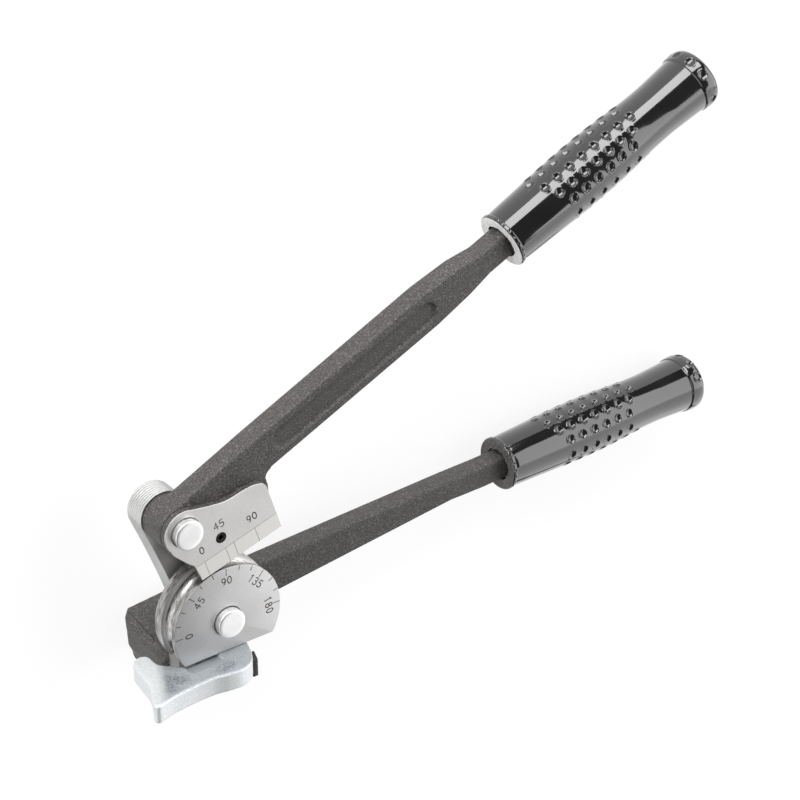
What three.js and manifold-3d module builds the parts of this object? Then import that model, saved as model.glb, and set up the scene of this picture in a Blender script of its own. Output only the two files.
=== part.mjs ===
import * as THREE from "three";
import { mergeVertices } from "three/addons/utils/BufferGeometryUtils.js";
import Module from "manifold-3d";

// A hand bender for 8 mm tube, lying on its back with its marked faces up.
// Sizes are in millimetres. The drawing's origin is where the form pin's axis meets the form's
// marked face: +X runs toward the 180 mark, +Y toward the 90 mark and +Z up out of the face.
// The form handle carries the form. A laminated link turns on the form pin and carries the shoe
// handle at its other end, and the shoe rolls the tube round the form.

// Fits
const clearance = 0.3; // gap between pieces that touch
const rollGap = 0.4; // gap between the form's rim and the shoe's edge
const overrun = 1; // how far a cutter passes the face that it opens
const weld = 1e-4; // vertices nearer than this are one
const edgeBreak = 0.4; // small chamfer on machined edges

// Tube and form
const tubeRadius = 4;
const bendRadius = 24; // the form's rim, which is the tube's centre line
const tubeDepth = 6; // from the marked face to the tube's centre line
const formThickness = 14.5;
const formFlatDrop = 13; // from the pin's axis down to the form's flat
const anvilWidth = 7; // the lug that backs the tube beyond the 0 mark
const anvilDrop = 8; // how far it stands below the flat
const anvilThickness = 7.5;
const anvilFront = 4.5; // its front below the marked face
const anvilRoot = 2; // how far it runs up into the form

// Pins and their rings
const pinRadius = 6;
const pinProud = 3; // how far a pin stands above the marked faces
const pinTail = 1.2; // what is left of a pin behind its ring groove
const pinGrooveDepth = 1;
const ringThickness = 1.6;
const ringReach = 2; // how far a ring stands out past its pin
const ringGapAngle = 40; // degrees, the ring's open part
const dowelRadius = 1.25;
const dowelCircle = 9.1; // radius of the two dowels round the form pin
const dowelDepth = 3; // how far a dowel enters the form
const dowelBite = 0.8; // how far it enters the ear behind

// Link
const linkPlates = 8;
const linkPlateThickness = 0.96;
const linkEndRadius = 9.9;
const linkWaist = 8.9; // half its width midway

// Shoe, drawn with its pin at the origin, its edge below and the 0 mark's side on the left
const shoeDepth = 24.2; // from the shoe pin's axis to the shoe's edge
const shoeLead = 2.65; // how far the pin stands behind the 0 mark
const shoeLength = 37.6;
const shoeHeel = 0.95; // how far the edge starts behind the pin
const shoePlateThickness = 2.7;
const shoeRailHeight = 7.1;
const shoeRailThickness = 12;
const shoeEndRadius = 9.1;
const shoeEndStart = 58; // degrees, where the round end leaves the back
const shoeEndFinish = 205; // degrees, where it meets the heel
const springPinRadius = 2;
const springPinBore = 0.95;
const springPinAlong = 12.15;
const springPinDrop = 11.7;
const restReading = 73.4; // degrees, the form's mark that the shoe's 0 mark stands at

// The upper outline of the shoe from its toe to its round end: along the shoe's length, and
// above the pin's axis, both as shares of the length
const shoeBackShares = [
  [0.971, -0.085],
  [0.945, -0.034],
  [0.9, -0.004],
  [0.824, 0.024],
  [0.718, 0.037],
  [0.606, 0.041],
  [0.515, 0.05],
  [0.444, 0.069],
  [0.348, 0.106],
  [0.215, 0.165],
];
// The heel from the round end down to the edge: along and below, as shares of the pin's depth
const shoeHeelShares = [
  [-0.318, -0.26],
  [-0.273, -0.343],
  [-0.148, -0.564],
  [-0.093, -0.632],
  [-0.066, -0.69],
  [-0.054, -0.8],
];

// Castings
const castRound = 1.3; // rounded edges
const blockRound = 1.6; // rounded edges of the head block
const neckRound = 1.8;
const barThickness = 10;
const frontEarThickness = 1.1;
const frontEarRadius = 12;
const backEarThickness = 4.4;
const backEarRadius = 9.5;

// Form handle, drawn along its grip's axis, which passes below the form pin
const formHandleAngle = 3.14; // degrees
const formHandleDrop = 11; // from the form pin's axis to the grip's axis
const formHandleReach = 159.6; // from the pin to the grip's near end, along the axis
const formHandleDepth = 35; // from the marked face to the bar's middle
const blockReach = 22.9; // the head block's end, behind the pin
const blockCheek = 2.4; // how far the end face rounds back
const blockRise = 3.4; // top of the block's back above the axis
const blockStep = 5.9; // how much lower its front edge lies
const blockFall = 21.8; // bottom of the block below the axis
const blockDepth = 17.2; // thickness of the block
const bridgeFall = 3; // top of the bridge under the link, below the axis
const bridgeReach = 12; // how far the bridge passes the pin
const bridgeDepth = 12.3; // its front below the marked face
const bridgeRoot = 2.6; // how far the bridge and the ears run into the block
const formBarRoot = 34; // where the block has become the bar
const formBarRise = 6.2; // bar's top above the axis there
const formBarFall = 10.6; // bar's bottom below the axis there
const formBarTip = 131; // where the bar meets the neck
const formBarTipRise = 5.5;
const formBarTipFall = 4.3;

// How the head block rounds off toward its end: the share of the rounding that is left, and how
// deep it still reaches as a share of its full depth
const blockEndShares = [
  [1, 0.62],
  [0.3, 0.8],
];

// Shoe handle, drawn along its grip's axis, which passes close above the shoe pin
const shoeHandleAngle = 8.43; // degrees, from the shoe's edge
const shoeHandleRise = 1.3; // from the shoe pin's axis up to the grip's axis
const shoeHandleReach = 170.5;
const shoeHandleDepth = 8;
const hubRadius = 9.3;
const shoeBarRise = 8.76; // bar's top above the axis
const shoeBarFall = 7.34; // bar's bottom below the axis
const shoeBarRoot = 40; // where the bar leaves the foot
const shoeBarShoulder = 129; // where the bar is deepest, before the neck
const shoeBarShoulderRise = 9;
const shoeBarShoulderFall = 7.9;
const shoeBarTip = 147;
const shoeBarTipRise = 7.6;
const shoeBarTipFall = 6.7;
const footDepth = 10; // thickness of the foot behind the shoe
const footFillet = 3.4; // inner round between the foot and the bar
const footToe = 2; // how far the foot passes the shoe's toe
const footToeShare = 0.33; // how far down its toe runs straight, as a share of its drop
const recessRadius = 4.65; // lengthwise recess in the bar's upper face
const recessStart = 47;
const recessEnd = 131;
const recessDepth = 1.2;

// Necks and grips
const neckHalfHeight = 5.4;
const neckHalfThickness = 4.8;
const neckEntry = 2; // how far a neck enters its grip
const neckLength = 12; // straight part before the grip
const tangRadius = 4.5;
const tangLength = 84;
const gripLength = 111.8;
const gripRadius = 12; // flange at the near end
const gripEndWall = 10; // rubber beyond the end of the bore

// Outline of a grip from the near end: along its length and out from its axis, as shares of
// the length and of the flange's radius
const gripShares = [
  [0, 0.97],
  [0.004, 1],
  [0.016, 1],
  [0.02, 0.955],
  [0.07, 0.98],
  [0.134, 1],
  [0.224, 1.03],
  [0.313, 1.053],
  [0.4, 1.062],
  [0.49, 1.055],
  [0.58, 1.02],
  [0.67, 0.972],
  [0.76, 0.96],
  [0.823, 0.98],
  [0.903, 1.02],
  [0.93, 1.042],
  [0.944, 1.083],
  [0.957, 1.1],
  [0.975, 1.09],
  [0.988, 1.03],
  [0.997, 0.91],
  [1, 0.7],
];

// Latch, drawn round its pivot: its arm runs along the form's flat, and its hook closes a little
// past the tube's place when no tube is in it
const latchThickness = 8.3;
const latchPivotAcross = 2; // from the form pin's axis toward the 180 side
const latchPivotDepth = 4.5; // below the marked face
const latchEndRadius = 6.6;
const latchReach = 44; // from the pivot to the finger tab's end
const latchBreadth = 20; // from the pivot to the tab's front corner
const latchLugGap = 3.6; // from the lug's front to the arm
const latchRound = 0.9;
const latchEndStart = 190; // degrees, where the pivot's round end starts
const screwRadius = 2.5;
const screwHeadRadius = 4.2;
const screwHeadHeight = 2.4;
const screwEntry = 4.6; // how far the screw enters the form
const detentThickness = 2.2;
const detentDrop = 3.6; // its top below the latch's top
const detentHeight = 7.4;

// Latch outline from the pivot's end, forward, round the tab and behind it into the hook: away
// from the pivot as shares of the reach, and up as shares of the breadth
const latchShares = [
  [0.141, 0.23],
  [0.098, 0.515],
  [0.041, 0.73],
  [-0.03, 0.86],
  [-0.118, 0.92],
  [-0.239, 0.905],
  [-0.368, 0.85],
  [-0.514, 0.84],
  [-0.661, 0.86],
  [-0.798, 0.895],
  [-0.898, 0.95],
  [-0.955, 0.99],
  [-0.991, 0.97],
  [-1, 0.875],
  [-0.973, 0.76],
  [-0.923, 0.525],
  [-0.886, 0.275],
  [-0.861, -0.165],
  [-0.845, -0.425],
  [-0.818, -0.535],
  [-0.784, -0.595],
  [-0.736, -0.615],
  [-0.689, -0.57],
  [-0.668, -0.46],
  [-0.668, -0.27],
  [-0.645, -0.135],
  [-0.591, -0.02],
  [-0.532, 0.1],
  [-0.489, 0.18],
];

// Facets
const roundSegments = 40;
const rimSegments = 64;
const pinSegments = 28;
const plateSegments = 9;
const grooveSegments = 16;
const cornerSteps = 3;
const gripSegments = 32;
const cornerShare = 0.45; // the most of a side that a rounded corner takes
const shoeEndSteps = 13;
const latchEndSteps = 12;

const toRadians = THREE.MathUtils.degToRad;
const fullTurn = 360; // degrees

// Heights that several pieces share, all below the marked faces
const frontEarTop = -formThickness - clearance;
const linkTop = frontEarTop - frontEarThickness - clearance;
const linkPitch = linkPlateThickness + clearance;
const linkBottom = linkTop - linkPlates * linkPitch + clearance;
const blockTop = linkBottom - clearance;
const backEarBottom = blockTop - backEarThickness;
const blockBottom = blockTop - blockDepth;
const tubeHeight = -tubeDepth;

// The closed shoe's place: its edge is tangent to the rim, so the link's length follows
const shoeAngle = toRadians(fullTurn / 4 - restReading);
const linkRise = bendRadius + rollGap + shoeDepth;
const linkLength = Math.hypot(linkRise, shoeLead);
const linkAngle = shoeAngle + Math.PI / 2 + Math.atan2(shoeLead, linkRise);
const shoePinX = linkLength * Math.cos(linkAngle);
const shoePinY = linkLength * Math.sin(linkAngle);

const wasm = await Module();
wasm.setup();

// Closed geometry as a solid that can be joined and cut
function solid(geometry) {
  const loose = geometry.index ? geometry.toNonIndexed() : geometry.clone();
  loose.deleteAttribute("normal");
  loose.deleteAttribute("uv");
  const merged = mergeVertices(loose, weld);
  return new wasm.Manifold(
    new wasm.Mesh({
      numProp: 3,
      vertProperties: merged.attributes.position.array,
      triVerts: new Uint32Array(merged.index.array),
    }),
  );
}

function geometryOf(body) {
  const mesh = body.getMesh();
  const geometry = new THREE.BufferGeometry();
  geometry.setAttribute("position", new THREE.BufferAttribute(mesh.vertProperties, mesh.numProp));
  geometry.setIndex(new THREE.BufferAttribute(mesh.triVerts, 1));
  geometry.computeVertexNormals();
  return geometry;
}

function shapeOf(points) {
  return new THREE.Shape(points.map(([x, y]) => new THREE.Vector2(x, y)));
}

// Points along an arc, from one angle to another in degrees
function arcPoints(x, y, radius, from, to, steps) {
  const points = [];
  for (let i = 0; i <= steps; i += 1) {
    const angle = toRadians(from + ((to - from) * i) / steps);
    points.push([x + radius * Math.cos(angle), y + radius * Math.sin(angle)]);
  }
  return points;
}

// A flat outline as a slab between two heights, with its edges broken by the given amount
function slab(shape, bottom, top, broken, segments = roundSegments / 2) {
  const geometry = new THREE.ExtrudeGeometry(shape, {
    depth: top - bottom - 2 * broken,
    bevelEnabled: broken > 0,
    bevelThickness: broken,
    bevelSize: broken,
    bevelOffset: -broken,
    bevelSegments: 1,
    curveSegments: segments,
  });
  return geometry.translate(0, 0, bottom + broken);
}

// A round bar along Z between two heights
function rod(radius, bottom, top, segments) {
  const geometry = new THREE.CylinderGeometry(radius, radius, top - bottom, segments);
  return geometry.rotateX(Math.PI / 2).translate(0, 0, (bottom + top) / 2);
}

// A round bar along Y between two places
function postY(radius, bottom, top, segments) {
  const geometry = new THREE.CylinderGeometry(radius, radius, top - bottom, segments);
  return geometry.translate(0, (bottom + top) / 2, 0);
}

// A turned piece round Z: its profile runs up the outside, from the axis to the axis
function turned(profile, segments) {
  const points = profile.map(([radius, height]) => new THREE.Vector2(radius, height));
  return new THREE.LatheGeometry(points, segments).rotateX(Math.PI / 2);
}

// The corners of a section, rounded
function roundedCorners(corners, round) {
  const ring = [];
  corners.forEach((corner, i) => {
    const here = new THREE.Vector2(...corner);
    const before = new THREE.Vector2(...corners[(i + corners.length - 1) % corners.length]);
    const after = new THREE.Vector2(...corners[(i + 1) % corners.length]);
    const reachBefore = Math.min(round / here.distanceTo(before), cornerShare);
    const reachAfter = Math.min(round / here.distanceTo(after), cornerShare);
    const start = here.clone().lerp(before, reachBefore);
    const end = here.clone().lerp(after, reachAfter);
    const curve = new THREE.QuadraticBezierCurve(start, here, end);
    ring.push(...curve.getPoints(cornerSteps));
  });
  return ring;
}

// One section of a casting, square to its grip's axis
function section(along, front, back, topFront, topBack, bottom, round) {
  const corners = [
    [-bottom, back],
    [topBack, back],
    [topFront, front],
    [-bottom, front],
  ];
  return roundedCorners(corners, round).map((p) => new THREE.Vector3(along, p.x, p.y));
}

// A skin through sections of equal point counts, closed at both ends
function loft(rings) {
  const count = rings[0].length;
  const positions = rings.flat().flatMap((p) => [p.x, p.y, p.z]);
  const faces = [];
  for (let i = 0; i + 1 < rings.length; i += 1) {
    for (let j = 0; j < count; j += 1) {
      const here = i * count + j;
      const next = i * count + ((j + 1) % count);
      faces.push(here, next, here + count);
      faces.push(next, next + count, here + count);
    }
  }
  const last = (rings.length - 1) * count;
  for (let j = 1; j + 1 < count; j += 1) {
    faces.push(0, j + 1, j);
    faces.push(last, last + j, last + j + 1);
  }
  const geometry = new THREE.BufferGeometry();
  geometry.setAttribute("position", new THREE.Float32BufferAttribute(positions, 3));
  geometry.setIndex(faces);
  return geometry;
}

function piece(name, body, colour, roughness, metalness) {
  const material = new THREE.MeshStandardMaterial({ color: colour, roughness, metalness });
  const mesh = new THREE.Mesh(geometryOf(body), material);
  mesh.name = name;
  return mesh;
}

const casting = [0x4c4947, 0.75, 0.2];
const machined = [0xc9c9c6, 0.35, 0.9];
const bright = [0xe2e2e0, 0.2, 1];
const zinc = [0xb9bcbd, 0.45, 0.85];
const vinyl = [0x0e0e0f, 0.15, 0];
const blackSteel = [0x151516, 0.4, 0.6];

// A pin with a groove for the ring that bears on the face at the given height
function pinBody(seat) {
  const grooveTop = seat;
  const grooveBottom = seat - 2 * clearance - ringThickness;
  const tail = grooveBottom - pinTail;
  const core = pinRadius - pinGrooveDepth;
  const profile = [
    [0, tail],
    [pinRadius - edgeBreak, tail],
    [pinRadius, tail + edgeBreak],
    [pinRadius, grooveBottom],
    [core, grooveBottom],
    [core, grooveTop],
    [pinRadius, grooveTop],
    [pinRadius, pinProud - edgeBreak],
    [pinRadius - edgeBreak, pinProud],
    [0, pinProud],
  ];
  return solid(turned(profile, pinSegments));
}

// The open ring in that groove
function ringBody(seat) {
  const inner = pinRadius - pinGrooveDepth + clearance;
  const outer = pinRadius + ringReach;
  const from = toRadians(ringGapAngle / 2);
  const to = 2 * Math.PI - from;
  const shape = new THREE.Shape();
  shape.absarc(0, 0, outer, from, to, false);
  shape.absarc(0, 0, inner, to, from, true);
  const top = seat - clearance;
  return solid(slab(shape, top - ringThickness, top, 0, plateSegments));
}

function bore(radius, bottom, top) {
  return solid(rod(radius + clearance, bottom, top, pinSegments));
}

// The neck, its tang and the last stretch of a bar are alike on both handles
function neckSections(reach, middle) {
  const front = middle + neckHalfThickness;
  const back = middle - neckHalfThickness;
  return [reach - neckLength, reach + neckEntry].map((along) =>
    section(along, front, back, neckHalfHeight, neckHalfHeight, neckHalfHeight, neckRound),
  );
}

function tang(reach, middle) {
  const geometry = rod(tangRadius, 0, neckEntry + tangLength, pinSegments);
  return solid(geometry.rotateY(Math.PI / 2).translate(reach, 0, middle));
}

// A grip round its own axis: a sleeve with a blind bore and a wider mouth for the neck
function gripBody() {
  const outside = gripShares.map(([along, out]) => [gripRadius * out, gripLength * along]);
  const neckInner = Math.hypot(neckHalfHeight - neckRound, neckHalfThickness - neckRound);
  const mouth = neckInner + neckRound + clearance;
  const mouthDepth = neckEntry + clearance;
  const boreRadius = tangRadius + clearance;
  const boreDepth = Math.min(neckEntry + tangLength + clearance, gripLength - gripEndWall);
  const profile = [
    [mouth, 0],
    ...outside,
    [0, gripLength],
    [0, boreDepth],
    [boreRadius, boreDepth],
    [boreRadius, mouthDepth],
    [mouth, mouthDepth],
    [mouth, 0],
  ];
  return solid(turned(profile, gripSegments).rotateY(Math.PI / 2));
}

// Bending form: a grooved disc with a flat below, and an anvil beyond the 0 mark
function formBody() {
  const disc = new THREE.Shape();
  const flatAngle = Math.asin(formFlatDrop / bendRadius);
  disc.absarc(0, 0, bendRadius, -flatAngle, Math.PI + flatAngle, false);
  disc.closePath();
  const geometry = slab(disc, -formThickness, 0, 0);
  const groove = new THREE.TorusGeometry(bendRadius, tubeRadius, grooveSegments, rimSegments);
  const anvilLeft = tubeRadius - bendRadius;
  const anvil = new THREE.BoxGeometry(anvilWidth, anvilDrop + anvilRoot, anvilThickness);
  anvil.translate(
    anvilLeft + anvilWidth / 2,
    (anvilRoot - anvilDrop) / 2 - formFlatDrop,
    -anvilFront - anvilThickness / 2,
  );
  let body = solid(geometry).subtract(solid(groove.translate(0, 0, tubeHeight)));
  body = body.add(solid(anvil));
  body = body.subtract(bore(pinRadius, -formThickness - overrun, overrun));
  for (const side of [-1, 1]) {
    const hole = bore(dowelRadius, -formThickness - overrun, dowelDepth + clearance - formThickness);
    body = body.subtract(hole.translate([side * dowelCircle, 0, 0]));
  }
  const top = screwEntry + clearance - formFlatDrop;
  const screwHole = postY(screwRadius + clearance, -formFlatDrop - overrun, top, pinSegments);
  screwHole.translate(latchPivotAcross, 0, -latchPivotDepth);
  return body.subtract(solid(screwHole));
}

// An ear round the form pin that runs down into the head block
function ear(radius, bottom, top) {
  const shape = new THREE.Shape();
  shape.absarc(0, 0, radius, 0, Math.PI, false);
  const foot = formHandleDrop + bridgeFall + bridgeRoot;
  shape.lineTo(-radius, -foot);
  shape.lineTo(radius, -foot);
  return solid(slab(shape, bottom, top, 0));
}

// Form handle: block, bar, neck and tang in one, a bridge that reaches forward below the
// link, and an ear on each side of the link
function formHandleBody() {
  const middle = -formHandleDepth;
  const barFront = middle + barThickness / 2;
  const barBack = middle - barThickness / 2;
  const topFront = blockRise - blockStep;
  const end = -blockReach;
  const cheek = end + blockCheek;
  const slope = (blockFall - formBarFall) / (formBarRoot - cheek);
  const rootFall = blockFall - slope * (bridgeReach - cheek);
  const bridgeFront = -bridgeDepth;
  const bridgeBack = blockTop - bridgeRoot;
  const blockEnds = [];
  const bridgeEnds = [];
  for (const [left, fall] of [...blockEndShares, [0, 1]]) {
    const inset = blockRound * left;
    const drop = blockCheek * left;
    const along = cheek - drop;
    const front = blockTop - inset;
    const back = blockBottom + inset;
    const bottom = blockFall * fall;
    const bridgeTop = -bridgeFall - drop;
    blockEnds.push(
      section(along, front, back, topFront - drop, blockRise - drop, bottom, blockRound),
    );
    bridgeEnds.push(
      section(along, bridgeFront - inset, bridgeBack, bridgeTop, bridgeTop, bottom, blockRound),
    );
  }
  const skin = loft([
    ...blockEnds,
    section(
      bridgeReach,
      blockTop,
      blockBottom,
      topFront,
      blockRise + castRound,
      rootFall,
      blockRound,
    ),
    section(formBarRoot, barFront, barBack, formBarRise, formBarRise, formBarFall, castRound),
    section(formBarTip, barFront, barBack, formBarTipRise, formBarTipRise, formBarTipFall, castRound),
    ...neckSections(formHandleReach, middle),
  ]);
  const bridge = loft([
    ...bridgeEnds,
    section(
      bridgeReach,
      bridgeFront,
      bridgeBack,
      -bridgeFall,
      -bridgeFall,
      rootFall,
      blockRound,
    ),
  ]);
  let body = solid(skin).add(solid(bridge)).add(tang(formHandleReach, middle));
  const place = new THREE.Matrix4().makeRotationZ(toRadians(formHandleAngle));
  place.multiply(new THREE.Matrix4().makeTranslation(0, -formHandleDrop, 0));
  body = body.transform(place.elements);
  body = body.add(ear(frontEarRadius, frontEarTop - frontEarThickness, frontEarTop));
  body = body.add(ear(backEarRadius, backEarBottom, blockTop));
  body = body.subtract(bore(pinRadius, backEarBottom - overrun, frontEarTop + overrun));
  for (const side of [-1, 1]) {
    const hole = bore(dowelRadius, linkTop, frontEarTop + overrun);
    body = body.subtract(hole.translate([side * dowelCircle, 0, 0]));
  }
  return body;
}

// One link plate: two round ends and a slightly narrower waist, with a hole at each end
function linkPlateBody() {
  const shape = new THREE.Shape();
  shape.absarc(0, 0, linkEndRadius, Math.PI, 2 * Math.PI, false);
  shape.quadraticCurveTo(2 * linkWaist - linkEndRadius, linkLength / 2, linkEndRadius, linkLength);
  shape.absarc(0, linkLength, linkEndRadius, 0, Math.PI, false);
  shape.quadraticCurveTo(linkEndRadius - 2 * linkWaist, linkLength / 2, -linkEndRadius, 0);
  for (const height of [0, linkLength]) {
    const hole = new THREE.Path();
    hole.absarc(0, height, pinRadius + clearance, 0, 2 * Math.PI, true);
    shape.holes.push(hole);
  }
  return solid(slab(shape, -linkPlateThickness, 0, 0, plateSegments));
}

function shoeOutline() {
  const left = -shoeHeel;
  const right = shoeLength - shoeHeel;
  const back = shoeBackShares.map(([along, up]) => [shoeLength * along, shoeLength * up]);
  const arc = arcPoints(0, 0, shoeEndRadius, shoeEndStart, shoeEndFinish, shoeEndSteps);
  return shapeOf([[left, -shoeDepth], [right, -shoeDepth], ...back, ...arc, ...shoeHeelLine()]);
}

function shoeHeelLine() {
  return shoeHeelShares.map(([along, up]) => [shoeDepth * along, shoeDepth * up]);
}

// Shoe: a plate with a deeper, grooved rail along its edge
function shoeBody() {
  const plate = solid(slab(shoeOutline(), -shoePlateThickness, 0, 0));
  const rail = new THREE.BoxGeometry(shoeLength, shoeRailHeight, shoeRailThickness);
  rail.translate(
    shoeLength / 2 - shoeHeel,
    shoeRailHeight / 2 - shoeDepth,
    -shoeRailThickness / 2,
  );
  const groove = new THREE.CylinderGeometry(
    tubeRadius,
    tubeRadius,
    shoeLength + 2 * overrun,
    grooveSegments * 2,
  );
  groove.rotateZ(Math.PI / 2);
  groove.translate(shoeLength / 2 - shoeHeel, -shoeDepth - rollGap, tubeHeight);
  let body = plate.add(solid(rail)).subtract(solid(groove));
  body = body.subtract(bore(pinRadius, -shoeRailThickness - overrun, overrun));
  const hole = bore(springPinRadius, -shoeRailThickness - overrun, overrun);
  return body.subtract(hole.translate([springPinAlong, -springPinDrop, 0]));
}

// Shoe handle: hub, foot behind the shoe, bar with its recess, neck and tang
function shoeHandleBody() {
  const middle = -shoeHandleDepth;
  const front = middle + barThickness / 2;
  const back = middle - barThickness / 2;
  const hubTop = hubRadius - shoeHandleRise;
  const skin = loft([
    section(0, front, back, hubTop, hubTop, shoeBarFall, castRound),
    section(shoeBarRoot, front, back, shoeBarRise, shoeBarRise, shoeBarFall, castRound),
    section(
      shoeBarShoulder,
      front,
      back,
      shoeBarShoulderRise,
      shoeBarShoulderRise,
      shoeBarShoulderFall,
      castRound,
    ),
    section(shoeBarTip, front, back, shoeBarTipRise, shoeBarTipRise, shoeBarTipFall, castRound),
    ...neckSections(shoeHandleReach, middle),
  ]);
  const recess = new THREE.Shape();
  const axisRise = (shoeBarRise - shoeBarFall) / 2;
  const shoulderRise = (shoeBarShoulderRise - shoeBarShoulderFall) / 2;
  const start = recessStart + recessRadius;
  const end = recessEnd - recessRadius;
  recess.absarc(start, axisRise, recessRadius, Math.PI / 2, (Math.PI * 3) / 2, false);
  recess.absarc(end, shoulderRise, recessRadius, -Math.PI / 2, Math.PI / 2, false);
  const cutter = solid(slab(recess, front - recessDepth, front + overrun, 0));
  let body = solid(skin).subtract(cutter).add(tang(shoeHandleReach, middle));
  const place = new THREE.Matrix4().makeRotationZ(toRadians(shoeHandleAngle));
  place.multiply(new THREE.Matrix4().makeTranslation(0, shoeHandleRise, 0));
  body = body.transform(place.elements);
  const seat = -shoePlateThickness - clearance;
  body = body.add(solid(rod(hubRadius, linkTop + clearance, seat, roundSegments)));
  const toe = shoeLength - shoeHeel + footToe;
  const footEdge = shoeRailHeight + clearance - shoeDepth;
  const barUnder = toe * Math.tan(toRadians(shoeHandleAngle)) + shoeHandleRise - shoeBarFall;
  const heel = shoeHeelLine().filter(([, up]) => up > footEdge);
  const foot = new THREE.Shape();
  foot.moveTo(heel[heel.length - 1][0], footEdge);
  foot.lineTo(toe - footToe - clearance, footEdge);
  foot.lineTo(toe, footEdge * footToeShare);
  foot.lineTo(toe, barUnder - footFillet);
  foot.quadraticCurveTo(toe, barUnder, toe + footFillet, barUnder + clearance);
  foot.lineTo(toe + footFillet, barUnder + footFillet);
  foot.lineTo(0, hubRadius - castRound);
  for (const [along, up] of heel) {
    foot.lineTo(along, up);
  }
  body = body.add(solid(slab(foot, seat - footDepth, seat, 0)));
  body = body.subtract(bore(pinRadius, linkTop - overrun, overrun));
  const hole = bore(springPinRadius, seat - footDepth - overrun, overrun);
  return body.subtract(hole.translate([springPinAlong, -springPinDrop, 0]));
}

function springPinBody() {
  const end = -shoePlateThickness - footDepth;
  const outer = solid(rod(springPinRadius, end, 0, grooveSegments));
  return outer.subtract(solid(rod(springPinBore, end - overrun, overrun, grooveSegments)));
}

// Latch: an arm under the form's flat, with a finger tab and a hook at its end
function latchBody() {
  const lugEdge = tubeRadius - bendRadius + anvilWidth - latchPivotAcross;
  const lugFront = latchPivotDepth - anvilFront;
  const points = latchShares.map(([away, up]) => [latchReach * away, latchBreadth * up]);
  points.push([lugEdge, lugFront + latchLugGap]);
  points.push(...arcPoints(0, 0, latchEndRadius, latchEndStart, fullTurn, latchEndSteps));
  const shape = shapeOf(points.reverse());
  const geometry = slab(shape, 0, latchThickness, latchRound).rotateX(Math.PI / 2);
  const hole = postY(screwRadius + clearance, -latchThickness - overrun, overrun, pinSegments);
  return solid(geometry).subtract(solid(hole));
}

// Black stop that lies against the latch's pivot end
function detentBody() {
  const inner = latchShares.slice(0, 2).map(([away, up]) => [
    latchReach * away + clearance,
    latchBreadth * up + clearance,
  ]);
  const outer = inner.map(([x, y]) => [x + detentThickness, y]);
  const shape = shapeOf([...outer, ...inner.reverse()]);
  return solid(slab(shape, detentDrop, detentDrop + detentHeight, 0).rotateX(Math.PI / 2));
}

function screwBody() {
  const headTop = -latchThickness - clearance;
  const shank = postY(screwRadius, headTop - overrun, screwEntry + clearance, pinSegments);
  const head = postY(screwHeadRadius, headTop - screwHeadHeight, headTop, pinSegments);
  return solid(shank).add(solid(head));
}

const tool = new THREE.Group();
const drawing = new THREE.Group();
tool.add(drawing);

// Form handle and what is fixed to it
drawing.add(piece("form_handle_casting", formHandleBody(), ...casting));
drawing.add(piece("bending_form", formBody(), ...machined));
drawing.add(piece("form_pin", pinBody(backEarBottom), ...bright));
drawing.add(piece("form_pin_ring", ringBody(backEarBottom), ...blackSteel));
[-1, 1].forEach((side, i) => {
  const bottom = frontEarTop - dowelBite;
  const top = dowelDepth - formThickness;
  const dowel = solid(rod(dowelRadius, bottom, top, grooveSegments));
  const mesh = piece("form_dowel_" + (i + 1), dowel, ...bright);
  mesh.position.set(side * dowelCircle, 0, 0);
  drawing.add(mesh);
});
const formGripPlace = new THREE.Group();
formGripPlace.rotation.z = toRadians(formHandleAngle);
const formGrip = piece("form_handle_grip", gripBody(), ...vinyl);
formGrip.position.set(formHandleReach, -formHandleDrop, -formHandleDepth);
formGripPlace.add(formGrip);
drawing.add(formGripPlace);

// Link
const link = new THREE.Group();
link.rotation.z = linkAngle - Math.PI / 2;
for (let i = 0; i < linkPlates; i += 1) {
  const plate = piece("link_plate_" + (i + 1), linkPlateBody(), ...machined);
  plate.position.z = linkTop - i * linkPitch;
  link.add(plate);
}
drawing.add(link);

// Shoe handle and what is fixed to it
const shoe = new THREE.Group();
shoe.position.set(shoePinX, shoePinY, 0);
shoe.rotation.z = shoeAngle;
shoe.add(piece("shoe_handle_casting", shoeHandleBody(), ...casting));
shoe.add(piece("bending_shoe", shoeBody(), ...machined));
shoe.add(piece("shoe_pin", pinBody(linkBottom), ...bright));
shoe.add(piece("shoe_pin_ring", ringBody(linkBottom), ...blackSteel));
const springPin = piece("shoe_spring_pin", springPinBody(), ...blackSteel);
springPin.position.set(springPinAlong, -springPinDrop, 0);
shoe.add(springPin);
const shoeGripPlace = new THREE.Group();
shoeGripPlace.rotation.z = toRadians(shoeHandleAngle);
const shoeGrip = piece("shoe_handle_grip", gripBody(), ...vinyl);
shoeGrip.position.set(shoeHandleReach, shoeHandleRise, -shoeHandleDepth);
shoeGripPlace.add(shoeGrip);
shoe.add(shoeGripPlace);
drawing.add(shoe);

// Latch, with its screw, which stays in the form
const latch = new THREE.Group();
latch.position.set(latchPivotAcross, -formFlatDrop - clearance, -latchPivotDepth);
latch.add(piece("latch", latchBody(), ...zinc));
latch.add(piece("latch_detent_clip", detentBody(), ...blackSteel));
latch.add(piece("latch_screw", screwBody(), ...bright));
drawing.add(latch);

// The part's frame: the middle of the bounding box at its lowest level
tool.updateMatrixWorld(true);
const box = new THREE.Box3().setFromObject(tool, true);
const centre = box.getCenter(new THREE.Vector3());
drawing.position.set(-centre.x, -centre.y, -box.min.z);

export default tool;
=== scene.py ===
import math

import bmesh
import bpy
import numpy as np
from mathutils import Matrix, Vector


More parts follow.
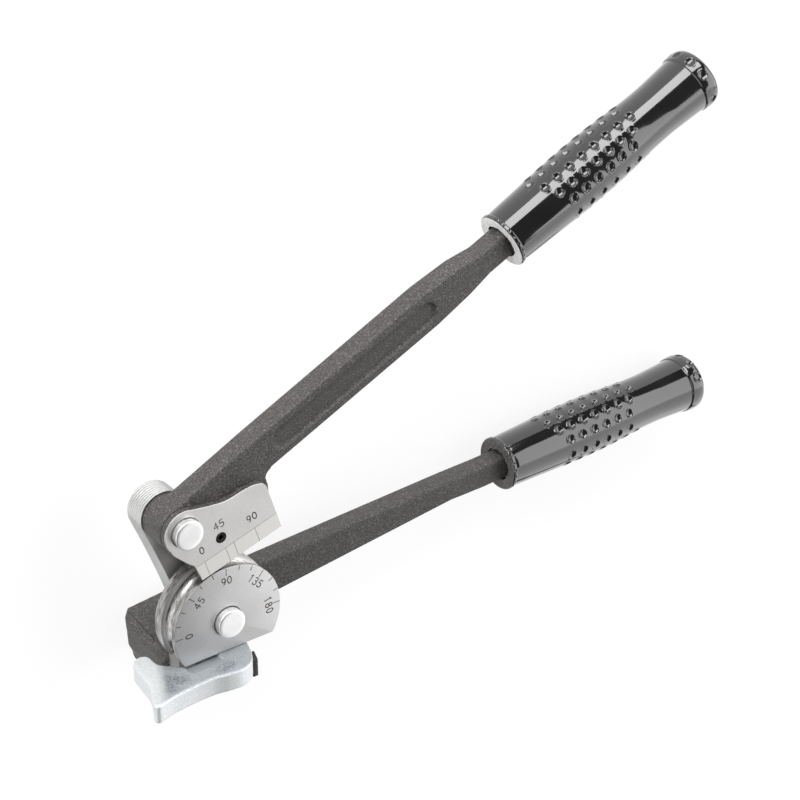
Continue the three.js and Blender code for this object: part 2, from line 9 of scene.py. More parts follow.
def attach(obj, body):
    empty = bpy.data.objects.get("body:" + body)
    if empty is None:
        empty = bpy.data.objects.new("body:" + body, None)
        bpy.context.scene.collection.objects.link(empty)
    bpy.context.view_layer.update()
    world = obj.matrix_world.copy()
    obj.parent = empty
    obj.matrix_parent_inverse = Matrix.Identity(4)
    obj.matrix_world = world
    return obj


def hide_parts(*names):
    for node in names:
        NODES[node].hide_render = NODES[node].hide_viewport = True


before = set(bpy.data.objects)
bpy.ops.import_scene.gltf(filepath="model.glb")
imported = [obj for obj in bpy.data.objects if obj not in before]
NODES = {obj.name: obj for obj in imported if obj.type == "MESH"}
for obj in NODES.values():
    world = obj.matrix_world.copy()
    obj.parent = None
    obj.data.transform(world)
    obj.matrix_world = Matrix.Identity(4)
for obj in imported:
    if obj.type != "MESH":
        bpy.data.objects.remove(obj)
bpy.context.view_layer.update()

# ---------------------------------------------------------------- sizes, in millimetres and degrees

MM = 0.001
# The gap between pieces, and the radii of the two large pins, the spring pin and the screw
FIT = 0.3
PIN = 6.0
SPRING_PIN = 2.0
SCREW = 2.5
# The large pins: how far they stand proud, their rounded rim, the groove for the ring, the tail
# behind the groove and its broken edge
PIN_PROUD = 3.0
PIN_RIM = 0.55
PIN_GROOVE = 1.0
PIN_TAIL = 1.2
PIN_EDGE = 0.5
RING_THICK = 1.6
# The shoe pin's axis in the drawing, and how far the shoe is turned about it
SHOE_PIN = (-16.424, 45.817)
SHOE_TURN = 16.6

# The radii of the form, which is the bend's centre line, and of the tube. The tube's axis lies
# at its depth below the faces of the form and the shoe.
BEND = 24.0
TUBE = 4.0
TUBE_DEPTH = 6.0
FORM_THICK = 14.5
FORM_FLAT = 13.0
# The crease at the head block's end, and half the width of the painted shade line along it: full, and
# faded out
CREASE = [(-20.5, -10.2, -40.6), (-18.5, -15.0, -26.4)]
CREASE_SHADE_HALF = 0.12
CREASE_SHADE_FADE = 0.27

# The shoe from its pin's axis: its left end, its rail from the edge to the scribed line
SHOE_LENGTH = 37.6
SHOE_LEFT = -0.95
SHOE_RIGHT = SHOE_LENGTH + SHOE_LEFT
SHOE_EDGE = -24.2
RAIL_WIDTH = 7.1
SHOE_LINE = SHOE_EDGE + RAIL_WIDTH
SHOE_THICK = 2.7
SHOE_ROUND = 9.1
RAIL_DEPTH = 12.0
TUBE_LINE = -24.6
SPRING_AT = (12.15, -11.7)

LINK_LENGTH = math.hypot(*SHOE_PIN)
LINK_ANGLE = math.degrees(math.atan2(SHOE_PIN[1], SHOE_PIN[0])) - 90.0
LINK_PLATES = 8
LINK_TOP = -16.2
LINK_PITCH = 0.96 + FIT
LINK_BOTTOM = LINK_TOP - LINK_PLATES * LINK_PITCH + FIT
LINK_END = 9.9
LEAF_THICK = 1.05
LEAF_EDGE = 0.24
BACK_EAR = 4.4
BACK_EAR_BOTTOM = LINK_BOTTOM - FIT - BACK_EAR

# The latch from its screw's axis
LATCH_AT = (2.0, -13.3, -4.5)
LATCH_LENGTH = 44.0
LATCH_WIDTH = 20.0
LATCH_THICK = 8.3
LATCH_ROUND = 6.6
LATCH_EDGE = 0.6
# Grainy stains on the latch's face: x, z and how far they reach
STAINS = ((-28.5, 3.5, 6.5), (-25.5, 6.0, 5.5), (-31.5, 8.0, 5.0), (-9.5, 8.6, 4.5), (-5.5, 8.2, 4.5))

# ---------------------------------------------------------------- places

# From the drawing, whose origin is where the form pin's axis meets the form's face, to the CAD
SHIFT = np.array([-115.027598, -71.614900, 48.200000])


def placed(angle=0.0, at=(0.0, 0.0, 0.0)):
    """A frame in the drawing, turned about Z and moved, as a function from its points to metres."""
    a = math.radians(angle)
    turn = np.array([[math.cos(a), -math.sin(a), 0], [math.sin(a), math.cos(a), 0], [0, 0, 1]])
    return lambda points: (np.asarray(points, float) @ turn.T + np.array(at) + SHIFT) * MM


def within(angle, origin, x, y, z=0.0):
    """A frame turned about Z, at a point that is measured along its own X and Y from an origin."""
    a = math.radians(angle)
    across = origin[0] + x * math.cos(a) - y * math.sin(a)
    up = origin[1] + x * math.sin(a) + y * math.cos(a)
    return placed(angle, (across, up, z))


FORM = placed()
SHOE = placed(SHOE_TURN, (*SHOE_PIN, 0.0))
SPRING = within(SHOE_TURN, SHOE_PIN, *SPRING_AT)
LINK = placed(LINK_ANGLE)
LATCH = placed(0.0, LATCH_AT)
FORM_GRIP = within(3.14, (0.0, 0.0), 159.6, -11.0, -35.0)
SHOE_GRIP = within(SHOE_TURN + 8.43, SHOE_PIN, 170.5, 1.3, -8.0)
FORM_AXIS = FORM([(0.0, 0.0, 0.0)])[0]
SHOE_AXIS = SHOE([(0.0, 0.0, 0.0)])[0]

# ---------------------------------------------------------------- meshes


def add_object(name, data):
    obj = bpy.data.objects.new(name, data)
    bpy.context.scene.collection.objects.link(obj)
    return obj


def mesh_object(name, points, faces, place, smooth=None):
    mesh = bpy.data.meshes.new(name)
    mesh.from_pydata(place(points).tolist(), [], [tuple(int(i) for i in f) for f in faces])
    mesh.validate()
    obj = add_object(name, mesh)
    outward(obj)
    if smooth is not None:
        shade(obj, smooth)
    return obj


def outward(obj):
    """Joins double points and turns all faces outward."""
    bm = bmesh.new()
    bm.from_mesh(obj.data)
    bmesh.ops.remove_doubles(bm, verts=bm.verts, dist=1e-7)
    bmesh.ops.recalc_face_normals(bm, faces=bm.faces)
    bm.to_mesh(obj.data)
    bm.free()


def shade(obj, degrees):
    """Shades a piece smooth, apart from the edges sharper than an angle."""
    obj.data.shade_smooth()
    obj.data.set_sharp_from_angle(angle=math.radians(degrees))


def apply_modifiers(obj):
    graph = bpy.context.evaluated_depsgraph_get()
    mesh = bpy.data.meshes.new_from_object(obj.evaluated_get(graph))
    obj.modifiers.clear()
    old = obj.data
    obj.data = mesh
    bpy.data.meshes.remove(old)


def join_cut(obj, other, operation):
    """Joins another solid to a piece or cuts it away, and removes that solid."""
    modifier = obj.modifiers.new("cut", "BOOLEAN")
    modifier.operation = operation
    modifier.solver = "EXACT"
    modifier.object = other
    apply_modifiers(obj)
    bpy.data.objects.remove(other)


def band(a, b, count, inward=False):
    """The faces between two rings of points, given by the number of each ring's first point."""
    pairs = [(i, (i + 1) % count) for i in range(count)]
    if inward:
        return [(a + i, b + i, b + j, a + j) for i, j in pairs]
    return [(a + i, a + j, b + j, b + i) for i, j in pairs]


def lathe(name, profile, place, segments=96, closed=False, axis="Z"):
    """A turned piece. The profile is (radius, height) along the outside; a zero radius is a pole."""
    points, rings = [], []
    for radius, height in profile:
        if radius < 1e-9:
            rings.append([len(points)])
            points.append((0.0, 0.0, height))
            continue
        rings.append(list(range(len(points), len(points) + segments)))
        for i in range(segments):
            a = 2 * math.pi * i / segments
            points.append((radius * math.cos(a), radius * math.sin(a), height))
    faces = []
    pairs = list(zip(rings, rings[1:])) + ([(rings[-1], rings[0])] if closed else [])
    for low, high in pairs:
        if len(low) == 1:
            faces += [(low[0], high[(i + 1) % segments], high[i]) for i in range(segments)]
        elif len(high) == 1:
            faces += [(low[i], low[(i + 1) % segments], high[0]) for i in range(segments)]
        else:
            faces += band(low[0], high[0], segments)
    points = np.array(points)
    if axis == "Y":
        points = points[:, [0, 2, 1]] * np.array([1, 1, -1])
    return mesh_object(name, points, faces, place)


def drill(obj, place, radius, low, high, segments, axis="Z"):
    """Cuts a round hole between two heights."""
    bore = [(0, low), (radius, low), (radius, high), (0, high)]
    join_cut(obj, lathe("hole", bore, place, segments, axis=axis), "DIFFERENCE")


def prism(name, outline, low, high, place, bevel=0.0, axis="Z"):
    """A flat outline between two heights, with its edges broken."""
    outline = np.asarray(outline, float)
    n = len(outline)
    edge = np.roll(outline, -1, 0) - np.roll(outline, 1, 0)
    area = np.cross(outline, np.roll(outline, -1, 0)).sum()
    normal = np.stack([edge[:, 1], -edge[:, 0]], 1) * (1 if area > 0 else -1)
    normal /= np.linalg.norm(normal, axis=1)[:, None] + 1e-12
    inner = outline - normal * bevel
    levels = [(outline, low), (outline, high)]
    if bevel > 0:
        levels = [(inner, low), (outline, low + bevel), (outline, high - bevel), (inner, high)]
    points = np.concatenate([np.c_[ring, np.full(n, z)] for ring, z in levels])
    last = (len(levels) - 1) * n
    faces = []
    for start in range(0, last, n):
        faces += band(start, start + n, n)
    faces += [tuple(range(n - 1, -1, -1)), tuple(range(last, last + n))]
    if axis == "Y":
        points = points[:, [0, 2, 1]] * np.array([1, -1, 1])
    return mesh_object(name, points, faces, place)


def box(name, low, high, place):
    outline = [(low[0], low[1]), (high[0], low[1]), (high[0], high[1]), (low[0], high[1])]
    return prism(name, outline, low[2], high[2], place)


def bar(name, section, start, end, place):
    """A section of (y, z) points, drawn along X."""
    n = len(section)
    points = [(x, y, z) for x in (start, end) for y, z in section]
    faces = band(0, n, n) + [tuple(range(n - 1, -1, -1)), tuple(range(n, 2 * n))]
    return mesh_object(name, points, faces, place)


def spline(points, steps):
    """A smooth line through points (Catmull-Rom), with some steps from each to the next."""
    p = np.asarray(points, float)
    last = len(p) - 1
    out = []
    for i in range(last):
        a, b, c, d = p[max(i - 1, 0)], p[i], p[i + 1], p[min(i + 2, last)]
        for k in range(steps):
            t = k / steps
            square = (2 * a - 5 * b + 4 * c - d) * t * t
            cube = (3 * b - a - 3 * c + d) * t**3
            out.append(0.5 * (2 * b + (c - a) * t + square + cube))
    out.append(p[-1])
    return np.array(out)


def arc(centre, radius, start, end, steps):
    a = np.radians(np.linspace(start, end, steps + 1))
    return np.stack([centre[0] + radius * np.cos(a), centre[1] + radius * np.sin(a)], 1)


def softened(node, name, voxel, smoothing):
    """A copy of a CAD node with its edges run together as in a casting."""
    obj = add_object(name, NODES[node].data.copy())
    obj.data.materials.clear()
    soften(obj, voxel, smoothing)
    return obj


def soften(obj, voxel, smoothing):
    remesh = obj.modifiers.new("remesh", "REMESH")
    remesh.mode = "VOXEL"
    remesh.voxel_size = voxel * MM
    relax = obj.modifiers.new("relax", "SMOOTH")
    relax.factor = 0.5
    relax.iterations = smoothing
    apply_modifiers(obj)
    obj.data.shade_smooth()


# ---------------------------------------------------------------- materials


def colour(r, g, b):
    """An sRGB colour, 0 to 255, as the shader takes it."""
    out = []
    for c in (r, g, b):
        c /= 255
        out.append(c / 12.92 if c <= 0.04045 else ((c + 0.055) / 1.055) ** 2.4)
    return (*out, 1.0)


def feed(tree, socket, value):
    """Gives a socket the output of another node, or else a plain value."""
    if isinstance(value, bpy.types.NodeSocket):
        tree.links.new(value, socket)
    else:
        socket.default_value = value


def shader_node(tree, kind, sockets=None, **settings):
    """A new node with its settings, and its inputs by name or number."""
    node = tree.nodes.new("ShaderNode" + kind)
    for key, value in settings.items():
        setattr(node, key, value)
    for socket, value in (sockets or {}).items():
        feed(tree, node.inputs[socket], value)
    return node


WHITE = (255, 255, 255)


class Material:
    """A Principled shader with procedural textures. Colours are sRGB triples from 0 to 255."""

    def __init__(self, name, base, roughness, metallic=0.0):
        self.material = bpy.data.materials.new(name)
        self.material.use_nodes = True
        self.tree = self.material.node_tree
        self.shader = self.tree.nodes["Principled BSDF"]
        self.set("Base Color", colour(*base))
        self.set("Roughness", roughness)
        self.set("Metallic", metallic)
        self.coordinates = self.node("TexCoord").outputs["Object"]
        self.bumped = None

    def node(self, kind, sockets=None, **settings):
        return shader_node(self.tree, kind, sockets, **settings)

    def set(self, socket, value):
        feed(self.tree, self.shader.inputs[socket], value)

    def noise(self, scale, detail=3.0, roughness=0.55, stretch=None, turn=0.0):
        where = self.coordinates
        if stretch is not None:
            rotation = (0, 0, math.radians(turn))
            mapping = {"Vector": where, "Scale": stretch, "Rotation": rotation}
            where = self.node("Mapping", mapping).outputs["Vector"]
        sockets = {"Vector": where, "Scale": scale, "Detail": detail, "Roughness": roughness}
        return self.node("TexNoise", sockets).outputs["Fac"]

    def along(self, direction, start):
        """How far a point lies along a direction, from a start, in metres."""
        dot = self.node("VectorMath", {0: self.coordinates, 1: direction}, operation="DOT_PRODUCT")
        less = self.node("Math", {0: dot.outputs["Value"], 1: start}, operation="SUBTRACT")
        return less.outputs[0]

    def near(self, centre, reach, full=0.0):
        """One round a place, falling to zero at a distance in millimetres."""
        away = self.node("VectorMath", {0: self.coordinates, 1: centre}, operation="DISTANCE")
        return self.grey(away.outputs["Value"], 1.0, 0.0, full * MM, reach * MM)

    def times(self, a, b):
        return self.node("Math", {0: a, 1: b}, operation="MULTIPLY").outputs[0]

    def ramp(self, value, *stops):
        """A number made into a colour. Each stop is a number and its colour."""
        node = self.node("ValToRGB", {"Fac": value})
        elements = node.color_ramp.elements
        while len(elements) < len(stops):
            elements.new(0.5)
        for element, (position, stop_colour) in zip(elements, stops):
            element.position = position
            element.color = colour(*stop_colour)
        return node.outputs["Color"]

    def grey(self, value, low, high, start=0.3, end=0.7):
        """A number between start and end, made into one between low and high."""
        span = {"Value": value, "From Min": start, "From Max": end, "To Min": low, "To Max": high}
        return self.node("MapRange", span).outputs["Result"]

    def mix(self, a, b, by, mode="MIX"):
        node = self.node("Mix", {"Factor": by}, data_type="RGBA", blend_type=mode)
        for socket, value in zip((s for s in node.inputs if s.type == "RGBA"), (a, b)):
            feed(self.tree, socket, colour(*value) if isinstance(value, tuple) else value)
        return next(s for s in node.outputs if s.type == "RGBA")

    def base(self, value):
        self.set("Base Color", value)

    def rough(self, value, low, high):
        self.set("Roughness", self.grey(value, low, high))

    def bump(self, height, strength, distance):
        """Adds relief to what is there already. The distance is in millimetres."""
        sockets = {"Height": height, "Strength": strength, "Distance": distance * MM}
        if self.bumped is not None:
            sockets["Normal"] = self.bumped
        self.bumped = self.node("Bump", sockets).outputs["Normal"]
        self.set("Normal", self.bumped)


def cast_coat():
    """Dark grainy paint, with painted shade: a dark line along the crease at the head block's end."""
    m = Material("cast_coat", (72, 69, 68), 0.6)
    grain = m.noise(1500, 3.0, 0.75)
    fine = m.noise(3200, 2.0, 0.6)
    broad = m.noise(180, 2.0)
    stops = ((0.34, (38, 36, 35)), (0.47, (66, 63, 62)), (0.58, (86, 83, 81)), (0.72, (148, 143, 140)))
    cloud = m.ramp(broad, (0.35, (222, 221, 220)), (0.7, WHITE))
    base = m.mix(m.ramp(grain, *stops), cloud, 0.6, "MULTIPLY")
    # Painted shade: a dark line along the crease at the head block's end, faded out at both sides and
    # towards its ends
    start, end = (Vector(p) for p in FORM(CREASE))
    across = (end - start).cross(Vector((-0.64, 0.72, 0.27))).normalized()
    away = m.along(across, across.dot(start))
    rising = m.grey(away, 0.0, 1.0, -CREASE_SHADE_FADE * MM, -CREASE_SHADE_HALF * MM)
    falling = m.grey(away, 1.0, 0.0, CREASE_SHADE_HALF * MM, CREASE_SHADE_FADE * MM)
    line = m.times(m.near((start + end) / 2, 8.6, 8.3), m.times(rising, falling))
    m.base(m.mix(base, (20, 19, 19), line))
    m.rough(grain, 0.42, 0.66)
    m.bump(broad, 0.2, 0.4)
    m.bump(grain, 1.0, 0.3)
    m.bump(fine, 0.3, 0.08)
    return m.material


def satin(m, base, low, high, turn=0.0):
    """Ground steel: grain in one direction, with faint cloudiness."""
    fine = m.noise(2600, 3.0, 0.6)
    strokes = m.noise(420, 4.0, 0.6, (1.0, 16.0, 1.0), turn)
    broad = m.noise(90, 2.0)
    darker = [c - 8 for c in base]
    lighter = [min(c + 6, 255) for c in base]
    cloud = m.ramp(broad, (0.3, (244, 244, 243)), (0.7, WHITE))
    m.rough(strokes, low, high)
    m.bump(strokes, 0.05, 0.05)
    m.bump(fine, 0.1, 0.05)
    return m.mix(m.ramp(fine, (0.3, darker), (0.7, lighter)), cloud, 0.7, "MULTIPLY")


def satin_steel(name, base, low=0.4, high=0.47):
    m = Material(name, base, 0.38, 1.0)
    m.base(satin(m, base, low, high))
    return m.material


def shoe_steel():
    """The shoe's face, whose rail is ground brighter than its plate."""
    m = Material("shoe_steel", (208, 207, 206), 0.5, 1.0)
    tone = satin(m, (211, 210, 209), 0.4, 0.47, -SHOE_TURN)
    a = math.radians(SHOE_TURN)
    up = (-math.sin(a), math.cos(a), 0.0)
    edge = SHOE([(0.0, SHOE_LINE, 0.0)])[0]
    where = m.along(up, float(np.dot(up, edge)))
    m.base(m.mix((219, 217, 214), tone, m.grey(where, 0.0, 1.0, -0.08 * MM, 0.08 * MM)))
    return m.material


def turned_steel():
    """The form's rim: rings round the axis, with stains that run along them."""
    m = Material("turned_steel", (206, 205, 203), 0.25, 1.0)
    rings = m.noise(260, 4.0, 0.65, (1.0, 1.0, 16.0))
    patches = m.noise(120, 3.0, 0.6, (1.0, 1.0, 3.0))
    fine = m.noise(1900, 2.0, 0.6)
    tone = m.ramp(rings, (0.32, (104, 102, 100)), (0.48, (166, 164, 162)), (0.66, (220, 219, 217)))
    dark = m.ramp(patches, (0.36, (120, 118, 116)), (0.56, WHITE))
    m.base(m.mix(tone, dark, 0.7, "MULTIPLY"))
    m.rough(rings, 0.24, 0.38)
    m.bump(rings, 0.06, 0.06)
    m.bump(fine, 0.03, 0.04)
    return m.material


def bright_steel():
    m = Material("bright_steel", (236, 236, 236), 0.34, 1.0)
    broad = m.noise(140, 2.0)
    rings = m.noise(300, 3.0, 0.6, (1.0, 1.0, 10.0))
    m.base(m.ramp(broad, (0.3, (232, 232, 232)), (0.7, (240, 240, 240))))
    m.rough(rings, 0.3, 0.38)
    m.bump(broad, 0.03, 0.1)
    return m.material


def cast_zinc(name):
    m = Material(name, (206, 211, 214), 0.5, 0.6)
    grain = m.noise(1500, 4.0, 0.75)
    fine = m.noise(3000, 2.0, 0.6)
    m.rough(grain, 0.42, 0.56)
    m.bump(grain, 0.3, 0.12)
    m.bump(fine, 0.12, 0.04)
    return m, grain


def zinc_wall():
    m, grain = cast_zinc("cast_zinc")
    m.base(m.ramp(grain, (0.32, (204, 208, 210)), (0.5, (222, 225, 227)), (0.7, (240, 242, 243))))
    return m.material


def shaded_zinc_face():
    """The latch's upper face: the walls' zinc painted darker as shade, with grainy stains, and painted
    paler towards the tab as light.
    """
    m, grain = cast_zinc("cast_zinc_face")
    tone = m.ramp(grain, (0.32, (148, 153, 157)), (0.5, (166, 171, 175)), (0.7, (186, 190, 193)))
    pale = m.ramp(grain, (0.32, (200, 203, 204)), (0.5, (214, 216, 217)), (0.7, (228, 229, 230)))
    stained = m.ramp(grain, (0.36, (98, 104, 108)), (0.5, (138, 144, 149)), (0.64, (184, 189, 193)))
    patches = m.noise(170, 3.0, 0.6)
    for x, z, reach in STAINS:
        near = m.near(FORM([(x, LATCH_AT[1], z)])[0], reach)
        tone = m.mix(tone, stained, m.grey(m.times(near, patches), 0.0, 1.0, 0.1, 0.32))
    # Painted light: the face grows paler towards the tab's end
    direction = Vector((-0.9, 0.0, -0.44))
    start = direction.dot(Vector(FORM([(-29.5, LATCH_AT[1], -1.0)])[0]))
    tab = m.grey(m.along(direction, start), 0.0, 1.0, -1.5 * MM, 2.5 * MM)
    m.base(m.mix(tone, pale, tab))
    return m.material


def gloss_vinyl():
    m = Material("gloss_vinyl", (12, 12, 13), 0.1)
    broad = m.noise(60, 2.0)
    fine = m.noise(1300, 2.0, 0.5)
    m.base(m.ramp(broad, (0.3, (9, 9, 10)), (0.7, (17, 17, 18))))
    m.rough(broad, 0.07, 0.13)
    m.set("Specular IOR Level", 0.7)
    m.set("Coat Weight", 1.0)
    m.set("Coat Roughness", 0.04)
    m.bump(broad, 0.05, 0.7)
    m.bump(fine, 0.02, 0.02)
    return m.material


def cut_vinyl(name, low, middle, high):
    """The trimmed end of a sleeve: dull, with a torn look."""
    m = Material(name, middle, 0.6)
    grain = m.noise(900, 3.0, 0.7)
    m.base(m.ramp(grain, (0.34, low), (0.5, middle), (0.66, high)))
    m.rough(grain, 0.5, 0.7)
    m.bump(grain, 0.4, 0.15)
    return m.material


def black_oxide(name, low, high):
    m = Material(name, (low, low, low), 0.4, 0.7)
    fine = m.noise(1400, 3.0, 0.6)
    m.base(m.ramp(fine, (0.3, (low, low, low + 1)), (0.7, (high, high, high + 1))))
    m.rough(fine, 0.3, 0.5)
    m.bump(fine, 0.2, 0.06)
    return m.material


def engraving(name, base):
    m = Material(name, base, 0.7)
    fine = m.noise(3000, 2.0, 0.6)
    m.base(m.ramp(fine, (0.3, [c - 16 for c in base]), (0.7, [c + 16 for c in base])))
    m.rough(fine, 0.6, 0.8)
    m.bump(fine, 0.2, 0.04)
    return m.material


COAT = cast_coat()
SATIN = satin_steel("satin_steel", (208, 207, 207), 0.48, 0.56)
SATIN_SHOE = shoe_steel()
TURNED = turned_steel()
BRIGHT = bright_steel()
LEAF = satin_steel("link_steel", (216, 216, 215), 0.4, 0.5)
LUG = satin_steel("lug_steel", (154, 154, 152))
ZINC = zinc_wall()
ZINC_SHADED_FACE = shaded_zinc_face()
VINYL = gloss_vinyl()
# Lit and shaded copies of one cut end: the pale one is painted light, the dark one painted shade
CUT_PAINTED_LIT = cut_vinyl("cut_vinyl_painted_lit", (214, 214, 213), (240, 240, 239), (252, 252, 251))
CUT_PAINTED_SHADE = cut_vinyl("cut_vinyl_painted_shade", (58, 57, 56), (82, 80, 79), (112, 110, 108))
OXIDE = black_oxide("black_oxide", 16, 42)
WORN_OXIDE = black_oxide("worn_oxide", 40, 76)
MARK = engraving("engraving", (66, 64, 62))
MARK_FAINT = engraving("engraving_faint", (104, 102, 99))
LINE = engraving("engraving_line", (150, 147, 143))


def finish_piece(obj, material, body, slot, *nodes):
    """Gives a piece its material, the body it rides on and the CAD nodes it replaces. The slot is not
    used.
    """
    obj.data.materials.clear()
    obj.data.materials.append(material)
    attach(obj, body)
    if nodes:
        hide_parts(*nodes)


def second(obj, material, chosen):
    """Gives one more material to the faces that a test picks, by centre and normal."""
    obj.data.materials.append(material)
    index = len(obj.data.materials) - 1
    for face in obj.data.polygons:
        if chosen(face.center, face.normal):
            face.material_index = index


# ---------------------------------------------------------------- castings

CAST_VOXEL = 0.5
CAST_SMOOTHING = 3
form_casting = softened("form_handle_casting", "form_handle_body", CAST_VOXEL, CAST_SMOOTHING)
finish_piece(form_casting, COAT, "form_handle", "casting", "form_handle_casting")
shoe_casting = softened("shoe_handle_casting", "shoe_handle_body", CAST_VOXEL, CAST_SMOOTHING)
finish_piece(shoe_casting, COAT, "shoe_handle", "casting", "shoe_handle_casting")

# ---------------------------------------------------------------- bending form

FORM_ROUND = 0.45
FORM_EDGE = 0.12
BORE_EDGE = 0.3
bore = PIN + FIT
# Down from the face: the bore's broken edge, the rounded rim, the groove and the lower rim
profile = [(bore + BORE_EDGE, 0.0), (BEND - FORM_ROUND, 0.0)]
profile += [(BEND - FORM_EDGE, -FORM_EDGE), (BEND, -FORM_ROUND)]
for a in np.linspace(math.pi / 2, -math.pi / 2, 29):
    profile.append((BEND - TUBE * math.cos(a), -TUBE_DEPTH + TUBE * math.sin(a)))
profile += [(BEND, FORM_EDGE - FORM_THICK), (BEND - FORM_EDGE, -FORM_THICK)]
profile += [(bore, -FORM_THICK), (bore, -BORE_EDGE)]
form = lathe("form_body", profile, FORM, 224, closed=True)
join_cut(form, box("flat_cutter", (-40, -40, -20), (40, -FORM_FLAT, 10), FORM), "DIFFERENCE")
join_cut(form, box("anvil", (-20.0, -21.0, -12.0), (-13.0, -11.0, -4.5), FORM), "UNION")
outward(form)
shade(form, 24)
finish_piece(form, SATIN, "form_handle", "machined", "bending_form")


def turned_rim(centre, normal):
    """The form's rim and groove, without its face, its flat and the lug."""
    x, y = centre.x - FORM_AXIS[0], centre.y - FORM_AXIS[1]
    rim = math.hypot(x, y) > (BEND - TUBE - 0.5) * MM and y > -(FORM_FLAT + 0.5) * MM
    return rim and normal.z < 0.9 and normal.y > -0.9


def lug(centre, normal):
    """What stands past the form's flat."""
    return centre.y < FORM_AXIS[1] - (FORM_FLAT + 0.1) * MM


second(form, TURNED, turned_rim)
second(form, LUG, lug)

# ---------------------------------------------------------------- pins


def pin(name, seat, place, body, node):
    """A pin with a rounded rim, and a groove for its ring below a seat."""
    bottom = seat - 2 * FIT - RING_THICK
    tail = bottom - PIN_TAIL
    neck = PIN - PIN_GROOVE
    rim = PIN_PROUD - PIN_RIM
    points = [(0, tail), (PIN - PIN_EDGE, tail), (PIN, tail + PIN_EDGE), (PIN, bottom)]
    points += [(neck, bottom), (neck, seat), (PIN, seat), (PIN, rim)]
    for a in np.linspace(0.2, 1.5, 6):
        points.append((PIN - PIN_RIM + PIN_RIM * math.cos(a), rim + PIN_RIM * math.sin(a)))
    points += [(4.2, PIN_PROUD), (2.0, PIN_PROUD), (0, PIN_PROUD)]
    obj = lathe(name, points, place)
    shade(obj, 35)
    finish_piece(obj, BRIGHT, body, "bright", node)


pin("form_pin_turned", BACK_EAR_BOTTOM, FORM, "form_handle", "form_pin")
pin("shoe_pin_turned", LINK_BOTTOM, SHOE, "shoe_handle", "shoe_pin")

# ---------------------------------------------------------------- link

WAIST = [(LINK_END, 0.0), (9.55, 0.25), (9.4, 0.5), (9.55, 0.75), (LINK_END, 1.0)]
side = [(x, LINK_LENGTH * share) for x, share in WAIST]
leaf_outline = np.concatenate(
    [
        arc((0, 0), LINK_END, 180, 360, 40),
        spline(side, steps=5)[1:-1],
        arc((0, LINK_LENGTH), LINK_END, 0, 180, 40),
        spline([(-x, y) for x, y in side[::-1]], steps=5)[1:-1],
    ]
)
for i in range(LINK_PLATES):
    top = LINK_TOP - i * LINK_PITCH
    plate = prism(f"link_leaf_{i + 1}", leaf_outline, top - LEAF_THICK, top, LINK, LEAF_EDGE)
    for pin_at in ((0.0, 0.0, 0.0), (*SHOE_PIN, 0.0)):
        drill(plate, placed(LINK_ANGLE, pin_at), PIN + FIT, top - 2, top + 1, 64)
    shade(plate, 30)
    finish_piece(plate, LEAF, "link", "machined", f"link_plate_{i + 1}")

# ---------------------------------------------------------------- bending shoe

# The plate's outline: from the right end to the round end, and from there down to the rail
BACK = [
    (36.51, -3.2), (35.53, -1.28), (33.84, -0.15), (30.98, 0.9), (27.0, 1.39), (22.79, 1.54),
    (19.36, 1.88), (16.69, 2.59), (13.08, 3.99), (8.08, 6.2),
]
HEEL = [
    (-7.7, -6.29), (-6.61, -8.3), (-3.58, -13.65), (-2.25, -15.29), (-1.6, -16.7), (-1.31, -19.36),
]
round_end = arc((0, 0), SHOE_ROUND, 58, 205, 44)
shoe_outline = np.concatenate(
    [
        [(SHOE_LEFT, SHOE_EDGE), (SHOE_RIGHT, SHOE_EDGE)],
        spline(BACK + [tuple(round_end[0])], steps=5)[:-1],
        round_end,
        spline([tuple(round_end[-1])] + HEEL + [(SHOE_LEFT, SHOE_EDGE * 0.93)], steps=5)[1:],
    ]
)
shoe = prism("shoe_plate", shoe_outline, -SHOE_THICK, 0.0, SHOE, 0.18)
rail = box("rail", (SHOE_LEFT, SHOE_EDGE, -RAIL_DEPTH), (SHOE_RIGHT, SHOE_LINE, -0.2), SHOE)
join_cut(shoe, rail, "UNION")
tube = []
for a in np.linspace(0, 2 * math.pi, 48, endpoint=False):
    tube.append((TUBE_LINE + TUBE * math.cos(a), -TUBE_DEPTH + TUBE * math.sin(a)))
join_cut(shoe, bar("tube_cutter", tube, -6.0, 44.0, SHOE), "DIFFERENCE")
for place, radius in ((SHOE, PIN + FIT), (SPRING, SPRING_PIN + FIT)):
    drill(shoe, place, radius, -14, 2, 72)
outward(shoe)
shade(shoe, 24)
finish_piece(shoe, SATIN_SHOE, "shoe_handle", "machined", "bending_shoe")


def cast_side(centre, normal):
    """The shoe's walls that stay as cast: round the plate, and the ends of the rail."""
    turn = math.radians(SHOE_TURN)
    x, y = (centre.x - SHOE_AXIS[0]) / MM, (centre.y - SHOE_AXIS[1]) / MM
    up = -x * math.sin(turn) + y * math.cos(turn)
    across = normal.x * math.cos(turn) + normal.y * math.sin(turn)
    outer_wall = math.hypot(x, y) > 7.0 and abs(normal.z) < 0.4
    return outer_wall and (up > SHOE_LINE or abs(across) > 0.7)


second(shoe, COAT, cast_side)

profile = [(0.95, -12.4), (1.2, -12.7), (1.75, -12.7), (SPRING_PIN, -12.4)]
profile += [(SPRING_PIN, -0.35), (1.75, 0.0), (1.15, 0.0), (0.95, -0.3)]
spring = lathe("spring_pin_rolled", profile, SPRING, 64, closed=True)
shade(spring, 35)
finish_piece(spring, OXIDE, "shoe_handle", "black_steel", "shoe_spring_pin")

# ---------------------------------------------------------------- marks


def oval(x, y, half_width, half_height, count):
    turns = np.linspace(0, 2 * math.pi, count)
    return [(x + half_width * math.cos(a), y + half_height * math.sin(a)) for a in turns]


